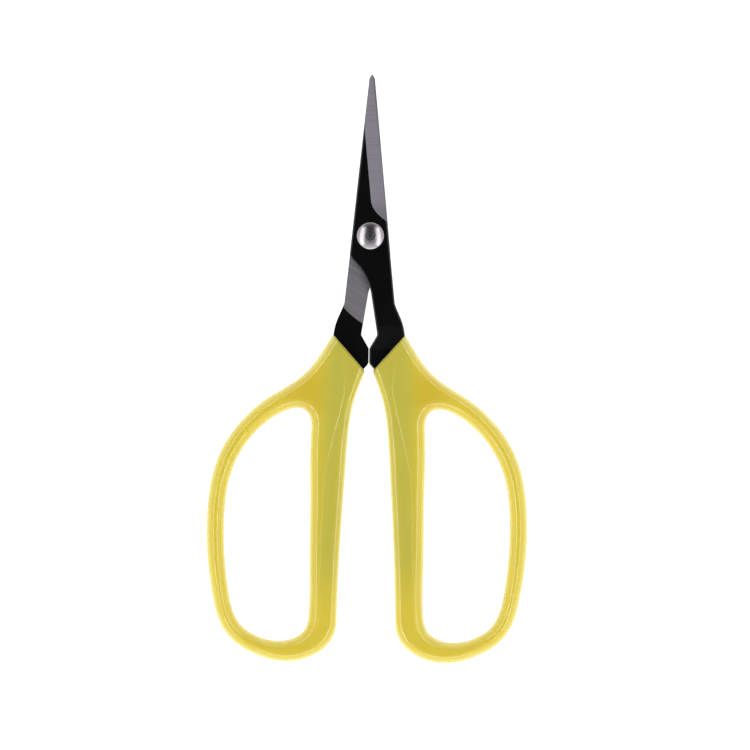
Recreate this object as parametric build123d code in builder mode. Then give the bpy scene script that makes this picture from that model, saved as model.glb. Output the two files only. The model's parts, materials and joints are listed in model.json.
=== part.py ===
"""Floral scissors with two stamped blades on one rivet and two moulded finger loops.

The scissors lie flat and shut, tips towards +Y, +Z along the rivet. x = 0 is the line where
the two halves meet, y = 0 is half way between the tips and the loops' far ends, and z = 0 is
the surface that the grips rest on. Sketches count their y from the pivot's centre.
All sizes are in millimetres.
"""
import math
import os

from build123d import *

# ---- Blade stamping ----
stock_thickness = 2.0        # steel strip that both blades are stamped from
blade_reach = 49.5           # pivot centre to tip
blade_half_width = 5.66      # half width of the shut blades at the pivot
nose_half_width = 0.97       # half width of the shut blades where the tip begins to run in
nose_length = 2.4            # stretch over which the tip runs in to its point
nose_bulge = 0.6             # half width where the tip rounds off
edge_inset = 0.5             # cutting edge, inside the other blade's spine
heel_reach = 4.6             # pivot centre to the end of the ground bevel
heel_inset = 0.1             # cutting edge at the heel, inside the other blade's spine
run_out_length = 6.7         # along the edge, from where the wheel lifts off to the heel
bevel_width = 4.0            # width of the ground bevel
edge_land = 0.1              # thickness left at the cutting edge
bevel_wheel_radius = 14.0    # grinding wheel that runs out at the heel
face_grind = 0.08            # depth ground off the inner face
face_wheel_radius = 25.0     # rim of the cup wheel that grinds the inner face
face_wheel_centre = (-10.6, -5.2)
ride_gap = 0.1               # between the two ground inner faces
edge_round = 0.55            # tumbled edge round the outer face

# ---- Shank, stop lug and tang ----
crossing_top = 5.9           # pivot centre to where the crossing edge leaves the spine
crotch_reach = 15.5          # pivot centre to where the shanks part
crotch_x = 0.35
flank_reach = 20.5           # pivot centre to where the shank begins to swell outwards
shank_half_width = 10.95     # outer edge of the shank where the grip starts
grip_start = 30.3            # pivot centre to the outer end of the grip's front face
lug_top = 34.4               # pivot centre to the near end of the stop lug's face
lug_length = 4.6
lug_gap = 0.2                # between the two stop lugs when shut
waist_x = 2.5                # inner edge of the shank, just above the lug
waist_reach = 30.3
joggle_start = 27.4          # the shank steps to the middle of the grip from here ...
joggle_end = 34.6            # ... to here
joggle_radius = 5.0
tang_reach = 111.5           # pivot centre to the end of the tang
tang_width = 4.0
tang_wall = 1.55             # grip material between the tang and the grip's inner side
tang_end_round = 1.9
anchor_hole_radius = 1.2
anchor_count = 3             # holes through the tang that the grip fills
anchor_first = 64.0          # pivot centre to the nearest and the farthest hole
anchor_last = 102.0

# ---- Grip ----
grip_thickness = 8.4
grip_round = 2.3             # rounding of the grip's long edges
front_round = 0.4            # rounding of the grip's front face
grip_inner_start = 41.3      # pivot centre to the inner end of the grip's front face
grip_inner_x = 1.1           # inner side of the grip at that place
bar_x = 8.9                  # inner side of the bar, near its far end
bar_width = 8.6
opening_width = 26.15
tube_width = 5.43            # outer side of the loop
loop_top = 52.9              # pivot centre to the near end of the finger opening
opening_length = 71.2
bottom_width = 6.4           # far end of the loop

# ---- Pivot ----
rivet_radius = 2.5
running_clearance = 0.05     # radial, in the front blade; the rear blade grips the rivet
head_radius = 4.15
head_height = 1.5
head_rim = 0.45
head_gap = 0.05              # under the head, so that the front blade can turn
washer_radius = 4.6
washer_thickness = 0.5
tail_radius = 3.6
tail_height = 1.1
tail_rim = 0.35

# ---- Places that follow ----
opening_far = loop_top + opening_length
handle_reach = opening_far + bottom_width
pivot_y = (handle_reach - blade_reach) / 2
mid_z = grip_thickness / 2
blade_taper = (blade_half_width - nose_half_width) / (blade_reach - nose_length)
opening_x = bar_x + bar_width
loop_width = bar_width + opening_width + tube_width
ground_z = mid_z + ride_gap / 2
blade_z = ground_z - face_grind
tang_z = mid_z - stock_thickness / 2
tang_x = bar_x + tang_wall
anchor_places = [
    (tang_x + 0.1 + i, -anchor_first - (anchor_last - anchor_first) * i / (anchor_count - 1))
    for i in range(anchor_count)
]


def half_width(y):
    """Half width of the shut blades, y millimetres from the pivot towards the tips."""
    return blade_half_width - blade_taper * y


def plan(z):
    """Plane parallel to the table at height z, with its origin on the pivot's axis."""
    return Plane(origin=(0, pivot_y, z))


def past_top(distance):
    """Height of a place on the loop, given as its distance past the opening's near end."""
    return -loop_top - distance


def before_far(distance):
    """Height of a place on the loop, given as its distance before the opening's far end."""
    return distance - opening_far


def draw_blade_outline():
    """Front blade with its shank, stop lug and tang, drawn clockwise from the tip."""
    nose_y = blade_reach - nose_length
    tip = (0, blade_reach)
    edge_nose = (half_width(nose_y) - edge_inset, nose_y)
    heel = (half_width(heel_reach) - heel_inset, heel_reach)
    flank_end = (half_width(-flank_reach), -flank_reach)
    shank_end = (shank_half_width, -grip_start)
    crotch = (crotch_x, -crotch_reach - 1.5)
    spine_end = (-half_width(-crossing_top), -crossing_top)
    spine_nose = (-half_width(nose_y), nose_y)
    lug_x = lug_gap / 2
    Spline(tip, (nose_bulge / 2, blade_reach - nose_length / 3), edge_nose)
    Polyline(edge_nose, heel, flank_end)
    Spline(
        flank_end,
        (shank_half_width - 1.15, -grip_start + 4.7),
        shank_end,
        tangents=[(0.3, -1), (0.12, -1)],
    )
    FilletPolyline(
        shank_end,
        (shank_half_width + 1.5, -grip_start - 14),
        (tang_x + tang_width, -tang_reach),
        (tang_x, -tang_reach),
        (bar_x - 0.7, -grip_inner_start - 24.6),
        (grip_inner_x + 4.4, -grip_inner_start - 7),
        (grip_inner_x + 0.7, -grip_inner_start + 0.3),
        (lug_x, -lug_top - lug_length),
        (lug_x, -lug_top),
        (waist_x, -waist_reach),
        crotch,
        radius=[8, tang_end_round, tang_end_round, 12, 12, 0.8, 1.6, 1.2, 1.6],
    )
    Spline(
        crotch,
        (-2.0, -crotch_reach + 4.0),
        (-4.0, -crotch_reach + 6.7),
        spine_end,
        tangents=[(-0.3, 1), (-0.35, 1)],
    )
    Line(spine_end, spine_nose)
    Spline(spine_nose, (-nose_bulge, blade_reach - nose_length / 3), tip)


def draw_strip_side():
    """Strip seen from its side, stepped down to the middle of the grip."""
    tip_y = blade_reach + 1
    tang_y = -tang_reach - 1
    FilletPolyline(
        (tip_y, blade_z),
        (-joggle_start, blade_z),
        (-joggle_end, tang_z),
        (tang_y, tang_z),
        (tang_y, tang_z + stock_thickness),
        (-joggle_end, tang_z + stock_thickness),
        (-joggle_start, blade_z + stock_thickness),
        (tip_y, blade_z + stock_thickness),
        radius=[joggle_radius, joggle_radius, 0, 0, joggle_radius, joggle_radius],
    )
    Line((tip_y, blade_z), (tip_y, blade_z + stock_thickness))


def bevel_plane():
    """Plane of the ground bevel, x along the edge from where the grinding wheel lifts off."""
    lift_off = heel_reach + run_out_length
    start = (half_width(lift_off) - edge_inset, pivot_y + lift_off, ground_z + edge_land)
    rise = math.atan((stock_thickness - face_grind - edge_land) / bevel_width)
    edge = Vector(-blade_taper, 1, 0).normalized()
    inward = Vector(-1, -blade_taper, 0).normalized()
    up_slope = inward * math.cos(rise) + Vector(0, 0, math.sin(rise))
    return Plane(origin=start, x_dir=edge, z_dir=-up_slope)


def make_blade(bore_radius):
    """One stamped and ground blade in the upper layer, with a pivot hole of the given radius."""
    with BuildPart() as blade:
        with BuildSketch(plan(0)):
            with BuildLine():
                draw_blade_outline()
            make_face()
        extrude(amount=grip_thickness)
        with BuildSketch(Plane(origin=(0, pivot_y, 0), x_dir=(0, 1, 0), z_dir=(1, 0, 0))):
            with BuildLine():
                draw_strip_side()
            make_face()
        extrude(amount=3 * shank_half_width, both=True, mode=Mode.INTERSECT)
        outer_faces = blade.faces().filter_by(lambda face: face.normal_at().Z > 0.9)
        fillet(outer_faces.edges().filter_by(Axis.X, reverse=True), edge_round)
        # Inner face ground flat, ending in the arc that the rim of the cup wheel leaves
        with BuildSketch(plan(ground_z)):
            with Locations(face_wheel_centre):
                Circle(face_wheel_radius)
                Rectangle(2 * face_wheel_radius, 2 * blade_reach, align=(Align.CENTER, Align.MIN))
        extrude(amount=-mid_z, mode=Mode.SUBTRACT)
        # Bevel on the outer face along the cutting edge, with the arc of the wheel at the heel
        with BuildSketch(bevel_plane()):
            with BuildLine():
                arc = CenterArc((0, bevel_wheel_radius), bevel_wheel_radius, 270, -45)
                Polyline(arc @ 0, (blade_reach, 0), (blade_reach, (arc @ 1).Y), arc @ 1)
            make_face()
        extrude(amount=blade_reach / 2, both=True, mode=Mode.SUBTRACT)
        with BuildSketch(plan(0)):
            Circle(bore_radius)
            with Locations(*anchor_places):
                Circle(anchor_hole_radius)
        extrude(amount=grip_thickness, mode=Mode.SUBTRACT)
    return blade.part


def draw_grip_outline():
    """Outside of the right-hand finger loop, drawn clockwise from the grip's outer corner."""
    corner = (shank_half_width + 0.1, -grip_start + 0.1)
    inner_corner = (grip_inner_x, -grip_inner_start)
    neck = [(0, 0), (3.3, -5.3), (6.9, -10.3), (12.8, -15.3)]
    # Share of the loop's width from the bar's inner side, and the place along the loop
    loop = [
        (0.570, past_top(-2.4)),
        (0.711, past_top(2.6)),
        (0.856, past_top(10.1)),
        (0.940, past_top(17.6)),
        (0.981, past_top(25.1)),
        (1.0, -loop_top - 0.507 * opening_length),
        (0.987, before_far(23.6)),
        (0.949, before_far(13.6)),
        (0.867, before_far(3.6)),
        (0.749, before_far(-0.22 * bottom_width)),
        (0.637, before_far(-0.61 * bottom_width)),
        (0.388, before_far(-bottom_width)),
        (0.152, before_far(-0.61 * bottom_width)),
        (0.072, before_far(-0.22 * bottom_width)),
        (0.007, before_far(3.6)),
        (0, before_far(7.1)),
        (-0.013, before_far(23.6)),
    ]
    inner_side = [(5.6, -29.2), (4.6, -16.7), (3.25, -9.2), (1.6, -4.2), (0, 0)]
    Spline(
        *[(corner[0] + x, corner[1] + y) for x, y in neck],
        *[(bar_x + share * loop_width, y) for share, y in loop],
        *[(inner_corner[0] + x, inner_corner[1] + y) for x, y in inner_side],
    )
    Line(inner_corner, corner)


def draw_opening():
    """Finger opening, nearly straight along the bar, drawn clockwise."""
    # Share of the opening's width from the bar, and the place along the loop
    rim = [
        (0, before_far(9.6)),
        (0, -loop_top - 0.63 * opening_length),
        (0, -loop_top - 0.37 * opening_length),
        (0, past_top(7.6)),
        (0.015, past_top(2.6)),
        (0.075, past_top(0.6)),
        (0.172, past_top(0)),
        (0.272, past_top(0.6)),
        (0.423, past_top(2.6)),
        (0.650, past_top(7.6)),
        (0.795, past_top(12.6)),
        (0.891, past_top(17.6)),
        (0.958, past_top(23.5)),
        (1.0, -loop_top - 0.493 * opening_length),
        (0.983, before_far(23.6)),
        (0.931, before_far(13.6)),
        (0.880, before_far(8.6)),
        (0.788, before_far(4.6)),
        (0.690, before_far(2.6)),
        (0.560, before_far(0.96)),
        (0.344, before_far(0)),
        (0.199, before_far(0.64)),
        (0.110, before_far(1.85)),
        (0.047, before_far(3.6)),
        (0.013, before_far(6.1)),
    ]
    Spline(*[(opening_x + share * opening_width, y) for share, y in rim], periodic=True)


def make_grip(blade_part):
    """Finger loop moulded round a blade's tang."""
    with BuildPart() as grip:
        with BuildSketch(plan(0)):
            with BuildLine():
                draw_grip_outline()
            make_face()
            with BuildLine():
                draw_opening()
            make_face(mode=Mode.SUBTRACT)
        extrude(amount=grip_thickness)
        # The long edges are rounded up to the front face, which is cut off square
        long_edges = grip.edges().filter_by(Plane.XY).filter_by(GeomType.LINE, reverse=True)
        fillet(long_edges, grip_round)
        front_face = grip.faces().filter_by(GeomType.PLANE).filter_by(Axis.Z, reverse=True)
        fillet(front_face.edges(), front_round)
        add(blade_part, mode=Mode.SUBTRACT)
    return grip.part


def turned_over(half):
    """The same piece for the other half, turned over about the line between the halves."""
    return half.rotate(Axis((0, 0, mid_z), (0, 1, 0)), 180)


with BuildPart() as front_blade:
    add(make_blade(rivet_radius + running_clearance))

with BuildPart() as rear_blade:
    add(turned_over(make_blade(rivet_radius)))

with BuildPart() as front_grip:
    add(make_grip(front_blade.part))

with BuildPart() as rear_grip:
    add(turned_over(front_grip.part))

# Rivet: domed head over the front blade, plain shank, formed tail under the washer
head_z = blade_z + stock_thickness + head_gap
rear_face_z = 2 * mid_z - blade_z - stock_thickness
tail_z = rear_face_z - washer_thickness


def draw_cap(rim_radius, rim_z, rise):
    """Half of a shallow dome over the pivot's axis, from the axis out to its rim."""
    dome_radius = (rim_radius**2 + rise**2) / (2 * abs(rise))
    spread = math.degrees(math.asin(rim_radius / dome_radius))
    up = math.copysign(1, rise)
    CenterArc((0, rim_z + rise - up * dome_radius), dome_radius, up * 90, -up * spread)


with BuildPart() as pivot_rivet:
    with BuildSketch(Plane(origin=(0, pivot_y, 0), x_dir=(1, 0, 0), z_dir=(0, -1, 0))):
        with BuildLine():
            draw_cap(head_radius, head_z + head_rim, head_height - head_rim)
            draw_cap(tail_radius, tail_z - tail_rim, tail_rim - tail_height)
            Polyline(
                (head_radius, head_z + head_rim),
                (head_radius, head_z),
                (rivet_radius, head_z),
                (rivet_radius, tail_z),
                (tail_radius, tail_z),
                (tail_radius, tail_z - tail_rim),
            )
            Line((0, tail_z - tail_height), (0, head_z + head_height))
        make_face()
    revolve(axis=Axis((0, pivot_y, 0), (0, 0, 1)))

with BuildPart() as pivot_washer:
    with BuildSketch(plan(tail_z)):
        Circle(washer_radius)
        Circle(rivet_radius, mode=Mode.SUBTRACT)
    extrude(amount=washer_thickness)

pieces = {
    "front_blade": front_blade.part,
    "rear_blade": rear_blade.part,
    "front_grip": front_grip.part,
    "rear_grip": rear_grip.part,
    "pivot_rivet": pivot_rivet.part,
    "pivot_washer": pivot_washer.part,
}
os.makedirs("parts", exist_ok=True)
for name, piece in pieces.items():
    piece.label = name
    export_step(piece, f"parts/{name}.step")
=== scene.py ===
"""Looks of the floral scissors: coated and ground blades, moulded vinyl loops, polished rivet."""

import json
import math

import bmesh
import bpy
import numpy as np
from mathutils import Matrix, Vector
from mathutils.kdtree import KDTree


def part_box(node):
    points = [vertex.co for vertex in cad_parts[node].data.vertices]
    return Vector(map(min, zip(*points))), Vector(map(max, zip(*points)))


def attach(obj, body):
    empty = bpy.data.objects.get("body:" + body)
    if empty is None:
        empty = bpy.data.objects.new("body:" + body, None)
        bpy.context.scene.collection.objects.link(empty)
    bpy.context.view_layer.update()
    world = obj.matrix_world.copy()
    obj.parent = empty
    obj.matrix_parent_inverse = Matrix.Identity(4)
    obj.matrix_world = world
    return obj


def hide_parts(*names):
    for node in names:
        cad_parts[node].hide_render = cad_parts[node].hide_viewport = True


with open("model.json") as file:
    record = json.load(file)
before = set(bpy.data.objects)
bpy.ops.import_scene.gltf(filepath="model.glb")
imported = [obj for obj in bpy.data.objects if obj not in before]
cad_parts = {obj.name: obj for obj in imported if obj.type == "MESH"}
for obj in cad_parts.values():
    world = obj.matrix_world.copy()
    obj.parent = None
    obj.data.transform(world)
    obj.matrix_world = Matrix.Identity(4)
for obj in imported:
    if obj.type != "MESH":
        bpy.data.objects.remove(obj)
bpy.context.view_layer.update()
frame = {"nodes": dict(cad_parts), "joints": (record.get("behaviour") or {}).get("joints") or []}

MM = 0.001
REAR, FRONT = "rear_half", "front_half"

# ---- Places read from the frame ----
HINGE = Vector(frame["joints"][0]["pos_m"])
PIVOT_Y = HINGE.y
MID_Z = HINGE.z
GRIP_LOW, GRIP_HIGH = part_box("front_grip")
BLADE_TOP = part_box("front_blade")[1].z
WASHER_LOW, WASHER_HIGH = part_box("pivot_washer")
RIVET_LOW, RIVET_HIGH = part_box("pivot_rivet")


def linear(hex_colour):
    """sRGB hex colour as the linear RGBA that shaders take."""
    channels = [int(hex_colour[i : i + 2], 16) / 255 for i in (1, 3, 5)]
    return [c / 12.92 if c <= 0.04045 else ((c + 0.055) / 1.055) ** 2.4 for c in channels] + [1.0]


def add_node(tree, kind, inputs=(), **settings):
    """Adds a node. inputs gives each socket a value, or the socket that feeds it."""
    node = tree.nodes.new(kind)
    for name, value in settings.items():
        setattr(node, name, value)
    for key, value in dict(inputs).items():
        if isinstance(value, bpy.types.NodeSocket):
            tree.links.new(value, node.inputs[key])
        else:
            node.inputs[key].default_value = value
    return node


def new_material(name):
    """Empty node material with its output, and the Object coordinates of the piece."""
    material = bpy.data.materials.new(name)
    material.use_nodes = True
    tree = material.node_tree
    tree.nodes.clear()
    output = tree.nodes.new("ShaderNodeOutputMaterial")
    coordinates = tree.nodes.new("ShaderNodeTexCoord")
    return material, tree, output, coordinates.outputs["Object"]


def from_upright(tree, place, centre):
    """Level offset of each place from the upright line through centre, and its length."""
    for operation, other in (("SUBTRACT", centre), ("MULTIPLY", (1, 1, 0))):
        step = add_node(tree, "ShaderNodeVectorMath", {0: place, 1: other}, operation=operation)
        place = step.outputs["Vector"]
    length = add_node(tree, "ShaderNodeVectorMath", {0: place}, operation="LENGTH")
    return place, length.outputs["Value"]


# ---- Materials ----


def fluoropolymer_coating():
    """Black non-stick coating, sprayed and baked on to tumbled steel: deep satin black, with a very
    fine spray texture and slightly duller patches where it is handled."""
    material, tree, output, place = new_material("black_fluoropolymer_coating")
    spray_grain, handling_patch = 0.25 * MM, 9 * MM
    grain = add_node(
        tree, "ShaderNodeTexNoise", {"Vector": place, "Scale": 1 / spray_grain, "Detail": 3.0}
    )
    cloud = add_node(
        tree, "ShaderNodeTexNoise", {"Vector": place, "Scale": 1 / handling_patch, "Detail": 2.0}
    )
    rub = add_node(
        tree,
        "ShaderNodeMapRange",
        {
            "Value": cloud.outputs["Fac"],
            "From Min": 0.3,
            "From Max": 0.75,
            "To Min": 0.19,
            "To Max": 0.25,
        },
    )
    tone = add_node(
        tree,
        "ShaderNodeMix",
        {"Factor": grain.outputs["Fac"], "A": linear("#030304"), "B": linear("#09080A")},
        data_type="RGBA",
    )
    bump = add_node(
        tree,
        "ShaderNodeBump",
        {"Height": grain.outputs["Fac"], "Strength": 0.10, "Distance": 0.02 * MM},
    )
    shader = add_node(
        tree,
        "ShaderNodeBsdfPrincipled",
        {
            "Base Color": tone.outputs["Result"],
            "Roughness": rub.outputs["Result"],
            "IOR": 1.5,
            "Normal": bump.outputs["Normal"],
        },
    )
    tree.links.new(shader.outputs["BSDF"], output.inputs["Surface"])
    return material


def ground_steel(name, stroke, tone_low, tone_high, roughness):
    """Bare blade steel straight from the grinding wheel: grey with fine lines of lighter and darker
    metal. stroke(tree, place) gives coordinates that are stretched along the lines."""
    dull_spread = 0.08
    material, tree, output, place = new_material(name)
    strokes = add_node(
        tree,
        "ShaderNodeTexNoise",
        {"Vector": stroke(tree, place), "Scale": 1.0, "Detail": 3.0, "Roughness": 0.55},
    )
    tone = add_node(
        tree,
        "ShaderNodeMapRange",
        {"Value": strokes.outputs["Fac"], "From Min": 0.28, "From Max": 0.72},
    )
    colour = add_node(
        tree,
        "ShaderNodeMix",
        {"Factor": tone.outputs["Result"], "A": linear(tone_low), "B": linear(tone_high)},
        data_type="RGBA",
    )
    dull = add_node(
        tree,
        "ShaderNodeMapRange",
        {
            "Value": strokes.outputs["Fac"],
            "To Min": roughness - dull_spread,
            "To Max": roughness + dull_spread,
        },
    )
    bump = add_node(
        tree,
        "ShaderNodeBump",
        {"Height": strokes.outputs["Fac"], "Strength": 0.10, "Distance": 0.02 * MM},
    )
    shader = add_node(
        tree,
        "ShaderNodeBsdfPrincipled",
        {
            "Base Color": colour.outputs["Result"],
            "Metallic": 1.0,
            "Roughness": dull.outputs["Result"],
            "Normal": bump.outputs["Normal"],
        },
    )
    tree.links.new(shader.outputs["BSDF"], output.inputs["Surface"])
    return material


def strokes_along(angle):
    """Straight grinding lines at an angle from X, coarser than real grit so that they show."""
    line_pitch, line_length = 0.34 * MM, 40 * MM

    def stroke(tree, place):
        mapping = add_node(
            tree,
            "ShaderNodeMapping",
            {
                "Vector": place,
                "Rotation": (0, 0, angle),
                "Scale": (line_length, line_pitch, line_length),
            },
            vector_type="TEXTURE",
        )
        return mapping.outputs["Vector"]

    return stroke


def polished_steel():
    """Cold-formed rivet head, polished bright, with the orbital tool's faint swirl in its middle."""
    material, tree, output, place = new_material("polished_rivet_steel")
    swirl_radius, ring_spacing = 2.0 * MM, 1.2 * MM
    offset, radius = from_upright(tree, place, (0, PIVOT_Y, 0))
    inside = add_node(
        tree,
        "ShaderNodeMapRange",
        {"Value": radius, "From Min": swirl_radius, "From Max": 0.75 * swirl_radius},
        interpolation_type="SMOOTHSTEP",
    )
    # The wave texture makes one ring in 2 pi / 20 of its scaled distance
    smear = add_node(
        tree,
        "ShaderNodeTexWave",
        {
            "Vector": offset,
            "Scale": 2 * math.pi / (20 * ring_spacing),
            "Distortion": 5.0,
            "Detail": 3.0,
            "Detail Scale": 0.6,
        },
        wave_type="RINGS",
        rings_direction="Z",
    )
    marks = add_node(
        tree,
        "ShaderNodeMath",
        {0: smear.outputs["Fac"], 1: inside.outputs["Result"]},
        operation="MULTIPLY",
    )
    tone = add_node(
        tree,
        "ShaderNodeMix",
        {"Factor": marks.outputs["Value"], "A": linear("#B9B3B5"), "B": linear("#94949A")},
        data_type="RGBA",
    )
    dull = add_node(
        tree,
        "ShaderNodeMapRange",
        {"Value": marks.outputs["Value"], "From Max": 0.7, "To Min": 0.22, "To Max": 0.28},
    )
    bump = add_node(
        tree,
        "ShaderNodeBump",
        {"Height": marks.outputs["Value"], "Strength": 0.3, "Distance": 0.04 * MM},
    )
    shader = add_node(
        tree,
        "ShaderNodeBsdfPrincipled",
        {
            "Base Color": tone.outputs["Result"],
            "Metallic": 1.0,
            "Roughness": dull.outputs["Result"],
            "Normal": bump.outputs["Normal"],
        },
    )
    tree.links.new(shader.outputs["BSDF"], output.inputs["Surface"])
    return material


def translucent_vinyl():
    """Soft glossy PVC, clear yellow, moulded thick round the tang: golden where the loop joins the
    bar, greener where the dark tang lies under it, and painted a duller tone in its thin rims, which
    stands in for the light showing through the thin vinyl there, beside the glow that light
    spreading inside gives them. Attributes of the piece say where each of these is. A faint round
    mark of the mould's ejector pin lies at the far end of the front bar."""
    material, tree, output, place = new_material("translucent_yellow_vinyl")
    colour_patch = 14 * MM
    mark_radius = 2.0 * MM
    mark_centre = (14.7 * MM, PIVOT_Y - 122.3 * MM, 0)
    tang = add_node(tree, "ShaderNodeAttribute", attribute_name="over_tang")
    depth = add_node(tree, "ShaderNodeAttribute", attribute_name="depth")
    web = add_node(tree, "ShaderNodeAttribute", attribute_name="web")
    front = add_node(tree, "ShaderNodeAttribute", attribute_name="front_shade_band")
    cloud = add_node(
        tree, "ShaderNodeTexNoise", {"Vector": place, "Scale": 1 / colour_patch, "Detail": 2.0}
    )
    body = add_node(
        tree,
        "ShaderNodeMix",
        {"Factor": cloud.outputs["Fac"], "A": linear("#EBD84D"), "B": linear("#F1DE58")},
        data_type="RGBA",
    )
    golden = add_node(
        tree,
        "ShaderNodeMix",
        {"Factor": web.outputs["Fac"], "A": body.outputs["Result"], "B": linear("#E7CF48")},
        data_type="RGBA",
    )
    tinted = add_node(
        tree,
        "ShaderNodeMix",
        {"Factor": tang.outputs["Fac"], "A": golden.outputs["Result"], "B": linear("#D9D05A")},
        data_type="RGBA",
    )
    # Painted light: thin rims take a duller, less saturated tone that stands in for light showing
    # through the thin vinyl, set together with the glow from light spreading inside it
    rim = add_node(
        tree,
        "ShaderNodeMix",
        {"Factor": depth.outputs["Fac"], "A": linear("#D6C768"), "B": tinted.outputs["Result"]},
        data_type="RGBA",
    )
    # Painted shade: a darker olive band just behind the front face, standing in for the shade of the
    # moulding's small rounded end where it meets the blade
    painted_front_shade = add_node(
        tree,
        "ShaderNodeMix",
        {"Factor": front.outputs["Fac"], "A": rim.outputs["Result"], "B": linear("#A39B38")},
        data_type="RGBA",
    )
    _, from_mark = from_upright(tree, place, mark_centre)
    mark_step = add_node(
        tree,
        "ShaderNodeMapRange",
        {"Value": from_mark, "From Min": 0.93 * mark_radius, "From Max": mark_radius},
        interpolation_type="SMOOTHSTEP",
    )
    mark_relief = add_node(
        tree,
        "ShaderNodeBump",
        {"Height": mark_step.outputs["Result"], "Strength": 1.0, "Distance": 0.15 * MM},
    )
    shader = add_node(
        tree,
        "ShaderNodeBsdfPrincipled",
        {
            "Base Color": painted_front_shade.outputs["Result"],
            "Roughness": 0.09,
            "Specular IOR Level": 0.75,
            "IOR": 1.53,
            "Subsurface Weight": 1.0,
            "Subsurface Radius": (1.0, 1.0, 0.8),
            "Subsurface Scale": 1.35 * MM,
            "Normal": mark_relief.outputs["Normal"],
        },
    )
    tree.links.new(shader.outputs["BSDF"], output.inputs["Surface"])
    return material


# ---- Blades ----

COATING = fluoropolymer_coating()
BEVEL_STEEL = ground_steel("ground_bevel_steel", strokes_along(0), "#7A777D", "#8B878E", 0.3)
HEEL_Y = PIVOT_Y + 4.5 * MM
# Height band, above the middle of the thickness, that holds the ground inner faces
INNER_FACE_BAND = (0.02 * MM, 0.09 * MM)
EDGE_LAND_TOP = 0.3 * MM


def finish_index(face, side):
    """Which finish a face of the blade has: 0 coated, 1 ground bevel, 2 ground inner face."""
    normal = face.normal
    middle = face.calc_center_median()
    lean = normal.x * side
    rise = normal.z * side
    height = (middle.z - MID_Z) * side
    beyond_heel = middle.y > HEEL_Y
    on_bevel = rise > 0.3 and lean > 0.12
    on_edge_land = lean > 0.9 and height < EDGE_LAND_TOP
    if rise < -0.99 and INNER_FACE_BAND[0] < height < INNER_FACE_BAND[1]:
        return 2
    return 1 if beyond_heel and (on_bevel or on_edge_land) else 0


def paint_blade(node, body, turned):
    """The stamped blade as the frame has it, coated, with bare steel where it was ground."""
    weld_distance, shortest_edge = 0.002 * MM, 0.0005 * MM
    crease = math.radians(24)
    side = -1 if turned else 1
    slant = side * math.radians(30)
    face_steel = ground_steel(
        "ground_face_steel_" + body, strokes_along(slant), "#9B979D", "#B1ADB3", 0.45
    )
    source = frame["nodes"][node].data.copy()
    imported_normals = source.attributes.get("custom_normal")
    if imported_normals:
        source.attributes.remove(imported_normals)
    source.materials.clear()
    for material in (COATING, BEVEL_STEEL, face_steel):
        source.materials.append(material)
    edit = bmesh.new()
    edit.from_mesh(source)
    bmesh.ops.remove_doubles(edit, verts=edit.verts, dist=weld_distance)
    bmesh.ops.dissolve_degenerate(edit, edges=edit.edges, dist=shortest_edge)
    edit.normal_update()
    for face in edit.faces:
        face.material_index = finish_index(face, side)
        face.smooth = True
    for edge in edit.edges:
        finishes = {face.material_index for face in edge.link_faces}
        edge.smooth = len(finishes) == 1 and edge.calc_face_angle(0) < crease
    edit.to_mesh(source)
    edit.free()
    piece = bpy.data.objects.new(node + "_finished", source)
    bpy.context.scene.collection.objects.link(piece)
    # Large flat faces decide the normals, so that they stay flat up to their rounded edges
    weights = piece.modifiers.new("weights", "WEIGHTED_NORMAL")
    weights.keep_sharp = True
    bpy.context.view_layer.update()
    evaluated = piece.evaluated_get(bpy.context.evaluated_depsgraph_get())
    piece.data = bpy.data.meshes.new_from_object(evaluated)
    piece.modifiers.clear()
    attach(piece, body)
    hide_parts(node)


paint_blade("front_blade", FRONT, False)
paint_blade("rear_blade", REAR, True)


# ---- Rivet and washer ----

RIVET_STEEL = polished_steel()
SHANK_RADIUS = 2.5 * MM
ROLL = 0.12 * MM


def turn_profile(name, profile, material, segments=96):
    """Solid turned about the pivot's axis. The profile's (radius, height) pairs run downwards."""
    crease = math.radians(40)
    edit = bmesh.new()
    rings = []
    for radius, height in profile:
        if radius == 0:
            rings.append([edit.verts.new((0, PIVOT_Y, height))])
            continue
        ring = []
        for i in range(segments):
            turn = 2 * math.pi * i / segments
            x = radius * math.cos(turn)
            y = PIVOT_Y + radius * math.sin(turn)
            ring.append(edit.verts.new((x, y, height)))
        rings.append(ring)
    pairs = list(zip(rings, rings[1:]))
    if len(rings[0]) > 1:
        pairs.append((rings[-1], rings[0]))
    for upper, lower in pairs:
        for i in range(segments):
            j = (i + 1) % segments
            corners = [upper[i % len(upper)], lower[i % len(lower)]]
            corners += [lower[j % len(lower)], upper[j % len(upper)]]
            unique = list(dict.fromkeys(corners))
            edit.faces.new(unique)
    bmesh.ops.recalc_face_normals(edit, faces=edit.faces)
    mesh = bpy.data.meshes.new(name)
    edit.to_mesh(mesh)
    edit.free()
    mesh.shade_smooth()
    mesh.set_sharp_from_angle(angle=crease)
    mesh.materials.append(material)
    piece = bpy.data.objects.new(name, mesh)
    bpy.context.scene.collection.objects.link(piece)
    return piece


def dome_rings(rim_radius, rim_z, top_z, count=18):
    """Rings of a shallow dome from its crown to its rim."""
    rise = abs(top_z - rim_z)
    ball = (rim_radius**2 + rise**2) / (2 * rise)
    spread = math.asin(rim_radius / ball)
    up = 1 if top_z > rim_z else -1
    rings = []
    for i in range(count + 1):
        tilt = spread * i / count
        rings.append((ball * math.sin(tilt), top_z - up * ball * (1 - math.cos(tilt))))
    return rings


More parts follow.
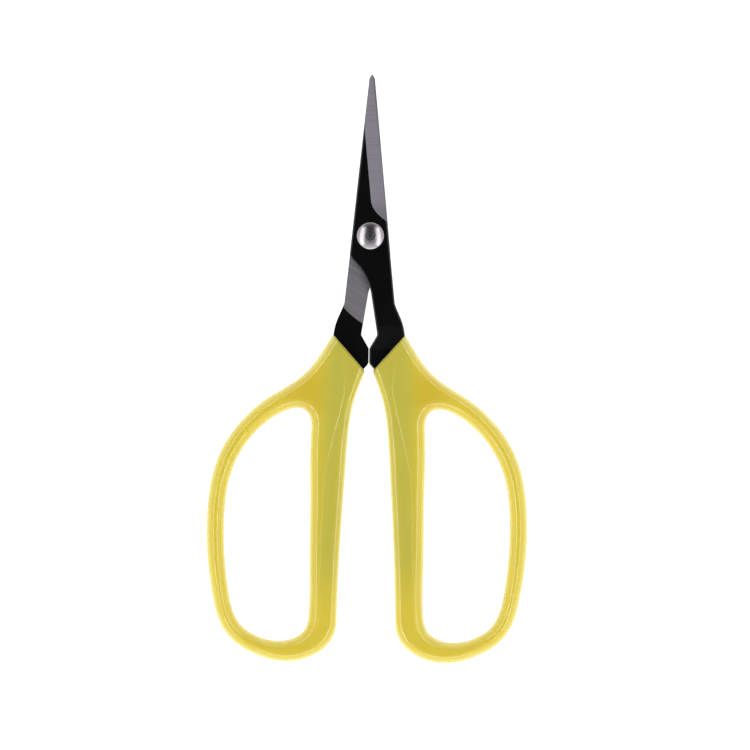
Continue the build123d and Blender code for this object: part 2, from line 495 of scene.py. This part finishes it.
def make_rivet():
    """Domed head, shank and formed tail, with softly rolled rims."""
    head_radius = RIVET_HIGH.x
    under_head = BLADE_TOP + 0.05 * MM
    head_rim, tail_rim = 0.5 * MM, 0.35 * MM
    tail_radius = 3.6 * MM
    head = dome_rings(head_radius - ROLL, under_head + head_rim, RIVET_HIGH.z)
    tail = dome_rings(tail_radius - ROLL, WASHER_LOW.z - tail_rim, RIVET_LOW.z)
    profile = head + [
        (head_radius - 0.3 * ROLL, under_head + 0.84 * head_rim),
        (head_radius, under_head + 0.6 * head_rim),
        (head_radius, under_head + ROLL),
        (head_radius - 0.3 * ROLL, under_head + 0.3 * ROLL),
        (head_radius - ROLL, under_head),
        (SHANK_RADIUS, under_head),
        (SHANK_RADIUS, WASHER_LOW.z),
        (tail_radius - ROLL, WASHER_LOW.z),
        (tail_radius, WASHER_LOW.z - ROLL),
    ]
    piece = turn_profile("rivet_finished", profile + tail[::-1], RIVET_STEEL)
    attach(piece, REAR)
    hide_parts("pivot_rivet")


def make_washer():
    """Thin washer with rolled edges under the rivet's tail."""
    outer = WASHER_HIGH.x
    profile = [
        (SHANK_RADIUS, WASHER_HIGH.z),
        (outer - ROLL, WASHER_HIGH.z),
        (outer, WASHER_HIGH.z - ROLL),
        (outer, WASHER_LOW.z + ROLL),
        (outer - ROLL, WASHER_LOW.z),
        (SHANK_RADIUS, WASHER_LOW.z),
    ]
    piece = turn_profile("washer_finished", profile, RIVET_STEEL)
    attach(piece, REAR)
    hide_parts("pivot_washer")


make_rivet()
make_washer()


# ---- Grips: plan curves in millimetres, y counted from the pivot ----

BAR_X = 8.9
OPENING_X = 17.5
OPENING_WIDTH = 26.15
LOOP_WIDTH = GRIP_HIGH.x / MM - BAR_X
LOOP_TOP = 52.9
OPENING_FAR = 124.1
BOTTOM_WIDTH = 6.4
CORNER = (11.05, -30.2)
INNER_CORNER = (1.1, -41.3)
CORNER_CUT = 0.4
WING_SLOPE = 0.195
WING_FAR = -118.0


def spline(points, closed, count):
    """Points evenly spaced along the smooth curve through the given points."""
    given = np.array(points, float)
    if closed:
        given = np.vstack([given[-3:], given, given[:4]])
    steps = np.linalg.norm(np.diff(given, axis=0), axis=1)
    knots = np.concatenate([[0], np.cumsum(steps)])
    n = len(knots)
    system = np.zeros((n, n))
    right = np.zeros((n, 2))
    system[0, 0] = system[-1, -1] = 1
    for i in range(1, n - 1):
        before, after = steps[i - 1], steps[i]
        system[i, i - 1 : i + 2] = before, 2 * (before + after), after
        right[i] = 6 * ((given[i + 1] - given[i]) / after - (given[i] - given[i - 1]) / before)
    bend = np.linalg.solve(system, right)
    first, last = (knots[3], knots[-4]) if closed else (0, knots[-1])
    fine = np.linspace(first, last, 4 * count)
    k = np.clip(np.searchsorted(knots, fine, "right") - 1, 0, n - 2)
    step = steps[k][:, None]
    b = ((fine - knots[k]) / steps[k])[:, None]
    a = 1 - b
    curve = a * given[k] + b * given[k + 1]
    curve += ((a**3 - a) * bend[k] + (b**3 - b) * bend[k + 1]) * step**2 / 6
    run = np.concatenate([[0], np.cumsum(np.linalg.norm(np.diff(curve, axis=0), axis=1))])
    even = np.linspace(0, run[-1], count, endpoint=not closed)
    return np.column_stack([np.interp(even, run, curve[:, i]) for i in (0, 1)])


def opening_curve(count):
    """Edge of the finger opening, clockwise from the bar's far end."""
    rim = [
        (0, 9.6 - OPENING_FAR),
        (0, 26.3 - OPENING_FAR),
        (0, 44.9 - OPENING_FAR),
        (0, -LOOP_TOP - 7.6),
        (0.015, -LOOP_TOP - 2.6),
        (0.075, -LOOP_TOP - 0.6),
        (0.172, -LOOP_TOP),
        (0.272, -LOOP_TOP - 0.6),
        (0.423, -LOOP_TOP - 2.6),
        (0.650, -LOOP_TOP - 7.6),
        (0.795, -LOOP_TOP - 12.6),
        (0.891, -LOOP_TOP - 17.6),
        (0.958, -LOOP_TOP - 23.5),
        (1.0, -LOOP_TOP - 35.1),
        (0.983, 23.6 - OPENING_FAR),
        (0.931, 13.6 - OPENING_FAR),
        (0.880, 8.6 - OPENING_FAR),
        (0.788, 4.6 - OPENING_FAR),
        (0.690, 2.6 - OPENING_FAR),
        (0.560, 0.96 - OPENING_FAR),
        (0.344, -OPENING_FAR),
        (0.199, 0.64 - OPENING_FAR),
        (0.110, 1.85 - OPENING_FAR),
        (0.047, 3.6 - OPENING_FAR),
        (0.013, 6.1 - OPENING_FAR),
    ]
    return spline([(OPENING_X + u * OPENING_WIDTH, y) for u, y in rim], True, count)


def outside_curve(count):
    """Outside of the grip, clockwise from its outer front corner to its inner front corner."""
    neck = [(0, 0), (3.3, -5.3), (6.9, -10.3), (12.8, -15.3)]
    loop = [
        (0.570, -LOOP_TOP + 2.4),
        (0.711, -LOOP_TOP - 2.6),
        (0.856, -LOOP_TOP - 10.1),
        (0.940, -LOOP_TOP - 17.6),
        (0.981, -LOOP_TOP - 25.1),
        (1.0, -LOOP_TOP - 36.1),
        (0.987, 23.6 - OPENING_FAR),
        (0.949, 13.6 - OPENING_FAR),
        (0.867, 3.6 - OPENING_FAR),
        (0.749, -0.22 * BOTTOM_WIDTH - OPENING_FAR),
        (0.637, -0.61 * BOTTOM_WIDTH - OPENING_FAR),
        (0.388, -BOTTOM_WIDTH - OPENING_FAR),
        (0.152, -0.61 * BOTTOM_WIDTH - OPENING_FAR),
        (0.072, -0.22 * BOTTOM_WIDTH - OPENING_FAR),
        (0.007, 3.6 - OPENING_FAR),
        (0, 7.1 - OPENING_FAR),
        (-0.013, 23.6 - OPENING_FAR),
    ]
    inner_side = [(5.6, -29.2), (4.6, -16.7), (3.25, -9.2), (1.6, -4.2), (0, 0)]
    points = [(CORNER[0] + x, CORNER[1] + y) for x, y in neck]
    points += [(BAR_X + u * LOOP_WIDTH, y) for u, y in loop]
    points += [(INNER_CORNER[0] + x, INNER_CORNER[1] + y) for x, y in inner_side]
    return spline(points, False, count)


def rounded_corner(before, corner, after, count=7):
    """Short curve that rounds a corner between two directions."""
    start = corner + (before - corner) / np.linalg.norm(before - corner) * CORNER_CUT
    end = corner + (after - corner) / np.linalg.norm(after - corner) * CORNER_CUT
    t = np.linspace(0, 1, count)[:, None]
    return (1 - t) ** 2 * start + 2 * t * (1 - t) * corner + t**2 * end


def closed_outside():
    """The whole outside as a closed run of points, with the front face and its two corners."""
    side = outside_curve(1400)
    corner, inner = np.array(CORNER), np.array(INNER_CORNER)
    from_ends = [np.linalg.norm(side - end, axis=1) for end in (corner, inner)]
    kept = side[np.minimum(*from_ends) > CORNER_CUT]
    last = rounded_corner(kept[-1], inner, corner)
    first = rounded_corner(inner, corner, kept[0])
    face = np.linspace(last[-1], first[0], 90)[1:-1]
    return np.vstack([kept, last, face, first])


def arc_lengths(points):
    """Length run along a closed curve at each of its points, and at last all the way round."""
    closed = np.vstack([points, points[:1]])
    return np.concatenate([[0], np.cumsum(np.linalg.norm(np.diff(closed, axis=0), axis=1))])


def nearest_share(points, lengths, place):
    """Share of a closed curve's length at which it passes nearest to a place."""
    i = int(np.argmin(np.linalg.norm(points - np.array(place), axis=1)))
    return lengths[i] / lengths[-1]


def walk(points, lengths, shares):
    """Places on a closed curve at the given shares of its length."""
    closed = np.vstack([points, points[:1]])
    at = np.mod(shares, 1.0) * lengths[-1]
    return np.column_stack([np.interp(at, lengths, closed[:, i]) for i in (0, 1)])


# Places that face each other across the moulding: on the opening, on the outside, and the
# number of sections from there to the next pair
FACING = [
    ((17.5, -114.5), (8.9, -117.0), 90),
    ((17.5, -60.5), (5.9, -61.5), 22),
    ((17.6, -56.6), (4.0, -49.5), 16),
    ((17.9, -55.4), (1.1, -41.3), 26),
    ((18.8, -54.0), (11.05, -30.2), 26),
    ((22.0, -52.9), (18.0, -40.5), 24),
    ((28.6, -55.5), (31.8, -50.5), 46),
    ((42.5, -76.0), (47.9, -76.5), 60),
    ((43.2, -100.5), (48.5, -100.5), 40),
    ((38.1, -119.5), (42.2, -122.3), 34),
    ((26.5, -124.1), (25.5, -130.5), 34),
]


def facing_places():
    """Pairs of places on the opening and the outside, one pair for each section."""
    opening = opening_curve(1600)
    outside = closed_outside()
    lengths = [arc_lengths(opening), arc_lengths(outside)]
    shares = [[], []]
    for curve, (points, run) in enumerate(zip((opening, outside), lengths)):
        stops = [nearest_share(points, run, pair[curve]) for pair in FACING]
        stops.append(stops[0])
        for i in range(1, len(stops)):
            while stops[i] < stops[i - 1]:
                stops[i] += 1
        for i, (_, _, sections) in enumerate(FACING):
            shares[curve] += list(np.linspace(stops[i], stops[i + 1], sections, endpoint=False))
    inner = walk(opening, lengths[0], np.array(shares[0]))
    outer = walk(outside, lengths[1], np.array(shares[1]))
    return inner, outer


def ease(value, low, high):
    """Smooth rise from 0 to 1 while the value goes from low to high."""
    t = np.clip((value - low) / (high - low), 0, 1)
    return t * t * (3 - 2 * t)


def soft_min(a, b, width):
    """Smaller of two heights, with a rounded ridge where they meet."""
    h = np.clip(0.5 + 0.5 * (b - a) / width, 0, 1)
    return b + (a - b) * h - width * h * (1 - h)


def round_edge(distance, radius, height):
    """Height of an elliptical rounding at a distance from its edge."""
    u = 1 - np.clip(distance / radius, 0, 1)
    return height * np.sqrt(1 - u * u)


def nearest(points, places, closed):
    """Distance from each place to a curve, and the nearest point on it."""
    tree = KDTree(len(points))
    for i, p in enumerate(points):
        tree.insert((p[0], p[1], 0), i)
    tree.balance()
    count = len(points)
    distances, hits = np.full(len(places), np.inf), np.empty((len(places), 2))
    for n, place in enumerate(places):
        _, i, _ = tree.find((place[0], place[1], 0))
        for j in (i - 1, i):
            if not closed and not 0 <= j < count - 1:
                continue
            a, b = points[j % count], points[(j + 1) % count]
            along = b - a
            t = np.clip(np.dot(place - a, along) / np.dot(along, along), 0, 1)
            foot = a + t * along
            gap = np.hypot(*(place - foot))
            if gap < distances[n]:
                distances[n], hits[n] = gap, foot
    return distances, hits


def split_sides():
    """The bar's inner side and the rest of the outside, both carried on straight past the front."""
    side = outside_curve(1400)
    past_front = np.linspace(0.05, 12, 120)[:, None]
    at_bottom = int(side[:, 1].argmin())
    inner_way = (side[-1] - side[-8]) / np.linalg.norm(side[-1] - side[-8])
    outer_way = (side[0] - side[7]) / np.linalg.norm(side[0] - side[7])
    bar_side = np.vstack([side[at_bottom:], side[-1] + past_front * inner_way])
    rest = np.vstack([(side[0] + past_front * outer_way)[::-1], side[: at_bottom + 1]])
    return bar_side, rest


def ridge_distance(y):
    """Distance of the bar's ridge from the grip's inner side: it runs in from the front face, comes
    closest where the neck is narrowest, and goes out again along the bar."""
    stations = [-118, -100, -85, -76.5, -71, -66.2, -60, -53.8, -48.9, -45.5, -41.4, -37.2, -32.1]
    away = [6.0, 6.1, 6.5, 6.7, 6.4, 5.5, 4.5, 3.7, 3.75, 4.5, 6.2, 8.4, 10.9]
    return np.interp(y, stations, away)


def ridge_shares(inner, outer, bar_side):
    """Share of each section, from the opening, at which the bar's ridge crosses it."""
    steps = np.linspace(0.15, 0.97, 42)
    x, y = outer.T
    behind_front = y < INNER_CORNER[1] - 0.05
    on_front = (x < 9.0) & (y > INNER_CORNER[1] - 0.1)
    on_wing = (x < 12.0) & behind_front & (y > WING_FAR) | on_front
    found, shares = [], []
    for i in np.flatnonzero(on_wing):
        line = inner[i] + (outer[i] - inner[i]) * steps[:, None]
        past = nearest(bar_side, line, False)[0] - ridge_distance(line[:, 1])
        if past.min() < 0 < past.max():
            found.append(i)
            shares.append(np.interp(0, past[::-1], steps[::-1]))
    count = len(inner)
    order = np.argsort(found)
    stops = list(np.array(found)[order])
    values = list(np.array(shares)[order])
    last_wing = max(i for i in stops if i < count / 2)
    fade = 45
    after = [(last_wing + fade, 0.5), (count - fade, 0.5), (count, values[0])]
    kept = [(i, v) for i, v in zip(stops, values) if i <= last_wing] + after
    return np.interp(np.arange(count), *np.array(kept).T)


def grip_half_height(places, opening, bar_side, rest):
    """Half thickness of the moulding, from the distances to its opening, sides and front face."""
    from_opening, _ = nearest(opening, places, True)
    from_bar, hit = nearest(bar_side, places, False)
    from_rest, rest_hit = nearest(rest, places, False)
    full = (GRIP_HIGH.z - GRIP_LOW.z) / 2 / MM
    outside_round, opening_round, wing_round, front_round = 2.72, 2.85, 1.5, 0.4
    # Loop's outer side is a little slimmer than the bar and the web
    slimming = 0.45
    crest = full - slimming * ease(rest_hit[:, 0], 26.0, 44.0) * (from_rest < from_bar)
    # Side of the bar that faces the other half falls away from its ridge as a flat bevel, which
    # steepens a little in a narrow lip just below the ridge
    wing = ease(hit[:, 1], WING_FAR - 10, WING_FAR)
    ridge = ridge_distance(places[:, 1])
    from_front = front_distance(places)
    lip_width = 0.5
    lip_slope = 0.1 * ease(from_front, 1.0, 7.0)
    lip = lip_slope * np.clip(from_bar - ridge + lip_width, 0, lip_width)
    low = full - WING_SLOPE * ridge - lip_slope * lip_width
    bevelled = round_edge(from_bar, wing_round, low) + WING_SLOPE * from_bar + lip
    rounded = round_edge(from_bar, outside_round, crest)
    along_bar = rounded * (1 - wing) + soft_min(bevelled, crest, 0.03) * wing
    outer_side = np.minimum(along_bar, round_edge(from_rest, outside_round, crest))
    inner_side = round_edge(from_opening, opening_round, crest)
    top = soft_min(outer_side, inner_side, 0.04 * np.clip(from_opening, 0.01, 1))
    past = front_round - np.clip(from_front, 0, front_round)
    front = crest - front_round + np.sqrt(front_round**2 - past**2)
    return np.minimum(top, front)


def front_distance(places):
    """Distance of each place behind the grip's front face."""
    corner, inner = np.array(CORNER), np.array(INNER_CORNER)
    face = (inner - corner) / np.linalg.norm(inner - corner)
    return (places - corner) @ np.array([-face[1], face[0]])


def tang_cover(places):
    """How much of the dark tang lies under each place: 1 over it, falling off softly beside it."""
    x, y = places[:, 0], places[:, 1]
    stations = [-111.5, -66.0, -48.3, -40.6, -30.2]
    inner = np.interp(y, stations, [10.4, 8.2, 5.6, 2.0, 10.9])
    outer = np.interp(y, stations, [14.4, 12.9, 12.5, 12.0, 11.0])
    beside = np.maximum(inner - x, x - outer)
    return (1 - ease(beside, -2.0, 4.0)) * (1 - ease(-y, 96.0, 117.0))


def make_grip(name, node, body, turned):
    """Moulded loop as a ring of sections, each running over the top and back underneath."""
    inner, outer = facing_places()
    bar_side, rest = split_sides()
    across = 28
    ridge = ridge_shares(inner, outer, bar_side)[:, None]
    rows = (1 - np.cos(2 * np.pi * np.arange(across // 2 + 1) / across)) / 2
    shares = np.hstack([ridge * rows[None, :-1], ridge + (1 - ridge) * rows[None, :]])
    sections = len(inner)
    grid = inner[:, None, :] + (outer - inner)[:, None, :] * shares[:, :, None]
    places = grid.reshape(-1, 2)
    half = grip_half_height(places, opening_curve(1600), bar_side, rest)
    cover = tang_cover(places)
    deep, web_centre, web_reach = 2.3, (17.0, -48.0), (9.0, 8.0)
    # depth is 0 at the thin rims, where the material paints the tone that stands in for light
    # through the thin vinyl, and 1 where the moulding is thick
    depth = ease(half, 0.0, deep)
    from_web = np.hypot(*((places - web_centre) / web_reach).T)
    web = 1 - ease(from_web, 0.15, 1.35)
    # Band just behind the front face, which the material darkens as painted shade at the junction
    # with the blade
    front = 1 - ease(front_distance(places), 0.15, 0.75)
    half = half.reshape(sections, across + 1)
    half[:, 0] = half[:, -1] = 0
    mirror = -1 if turned else 1
    verts = []
    values = {"over_tang": cover, "depth": depth, "web": web, "front_shade_band": front}
    columns = {label: [] for label in values}
    for i in range(sections):
        for k in range(2 * across):
            j = k if k <= across else 2 * across - k
            up = 1 if k <= across else -1
            x, y = grid[i, j]
            height = MID_Z + mirror * up * half[i, j] * MM
            verts.append((mirror * x * MM, PIVOT_Y + y * MM, height))
            for label, column in columns.items():
                column.append(values[label][i * (across + 1) + j])
    ring = 2 * across
    faces = []
    for i in range(sections):
        following = (i + 1) % sections
        for k in range(ring):
            m = (k + 1) % ring
            faces.append((i * ring + k, i * ring + m, following * ring + m, following * ring + k))
    mesh = bpy.data.meshes.new(name)
    mesh.from_pydata(verts, [], faces)
    for label, column in columns.items():
        attribute = mesh.attributes.new(label, "FLOAT", "POINT")
        attribute.data.foreach_set("value", np.array(column, np.float32))
    edit = bmesh.new()
    edit.from_mesh(mesh)
    bmesh.ops.recalc_face_normals(edit, faces=edit.faces)
    edit.to_mesh(mesh)
    edit.free()
    mesh.shade_smooth()
    mesh.materials.append(VINYL)
    piece = bpy.data.objects.new(name, mesh)
    bpy.context.scene.collection.objects.link(piece)
    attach(piece, body)
    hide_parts(node)


VINYL = translucent_vinyl()
make_grip("front_loop_moulding", "front_grip", FRONT, False)
make_grip("rear_loop_moulding", "rear_grip", REAR, True)


# ---- Stage ----


def make_floor():
    """Plain white light table."""
    mesh = bpy.data.meshes.new("floor")
    reach = 3.0
    level = -0.05 * MM
    corners = [(x * reach, y * reach, level) for x, y in ((-1, -1), (1, -1), (1, 1), (-1, 1))]
    mesh.from_pydata(corners, [], [(0, 1, 2, 3)])
    material, tree, output, _ = new_material("white_light_table")
    shader = add_node(
        tree,
        "ShaderNodeBsdfPrincipled",
        {
            "Base Color": linear("#B8B8B8"),
            "Roughness": 0.9,
            "Specular IOR Level": 0.1,
            "Emission Color": linear("#FFFFFF"),
            "Emission Strength": 0.95,
        },
    )
    tree.links.new(shader.outputs["BSDF"], output.inputs["Surface"])
    mesh.materials.append(material)
    floor = bpy.data.objects.new("floor", mesh)
    bpy.context.scene.collection.objects.link(floor)


def make_light(name, place, size, power):
    """Softbox that faces the scissors."""
    light = bpy.data.lights.new(name, "AREA")
    light.shape = "RECTANGLE"
    light.size, light.size_y = size
    light.energy = power
    lamp = bpy.data.objects.new(name, light)
    lamp.location = place
    lamp.rotation_euler = (-Vector(place)).to_track_quat("-Z", "Y").to_euler()
    bpy.context.scene.collection.objects.link(lamp)


def make_sky():
    """Studio surround: bright walls, and a dark hood overhead where the camera looks through."""
    world = bpy.data.worlds.new("studio")
    bpy.context.scene.world = world
    world.use_nodes = True
    tree = world.node_tree
    tree.nodes.clear()
    output = tree.nodes.new("ShaderNodeOutputWorld")
    direction = tree.nodes.new("ShaderNodeTexCoord").outputs["Generated"]
    overhead = add_node(
        tree, "ShaderNodeVectorMath", {0: direction, 1: (0, 0.25, 0.97)}, operation="DOT_PRODUCT"
    )
    hood = add_node(
        tree,
        "ShaderNodeMapRange",
        {
            "Value": overhead.outputs["Value"],
            "From Min": 0.5,
            "From Max": 0.93,
            "To Min": 0.9,
            "To Max": 0.04,
        },
        interpolation_type="SMOOTHSTEP",
    )
    background = add_node(
        tree,
        "ShaderNodeBackground",
        {"Color": linear("#F7F8FF"), "Strength": hood.outputs["Result"]},
    )
    tree.links.new(background.outputs["Background"], output.inputs["Surface"])


def make_camera():
    """Long lens straight above, turned a little so that the tips lean to the right."""
    frame_width = 0.2295
    distance = 1.6
    roll = math.radians(0.678)
    aim = (0.00192, -0.002, MID_Z)
    data = bpy.data.cameras.new("camera")
    data.sensor_width = 36
    data.lens = 36 * distance / frame_width
    data.clip_end = 20
    camera = bpy.data.objects.new("camera", data)
    camera.location = (aim[0], aim[1], aim[2] + distance)
    camera.rotation_euler = (0, 0, roll)
    bpy.context.scene.collection.objects.link(camera)
    bpy.context.scene.camera = camera


make_floor()
make_light("softbox_left", (-0.36, 0.03, 0.52), (0.9, 0.18), 1.1)
make_light("softbox_right", (0.36, 0.03, 0.52), (0.9, 0.18), 1.1)
make_light("foot_softbox", (0, -0.75, 0.45), (0.7, 0.3), 0.8)
make_sky()
make_camera()
bpy.context.scene.view_settings.view_transform = "Standard"
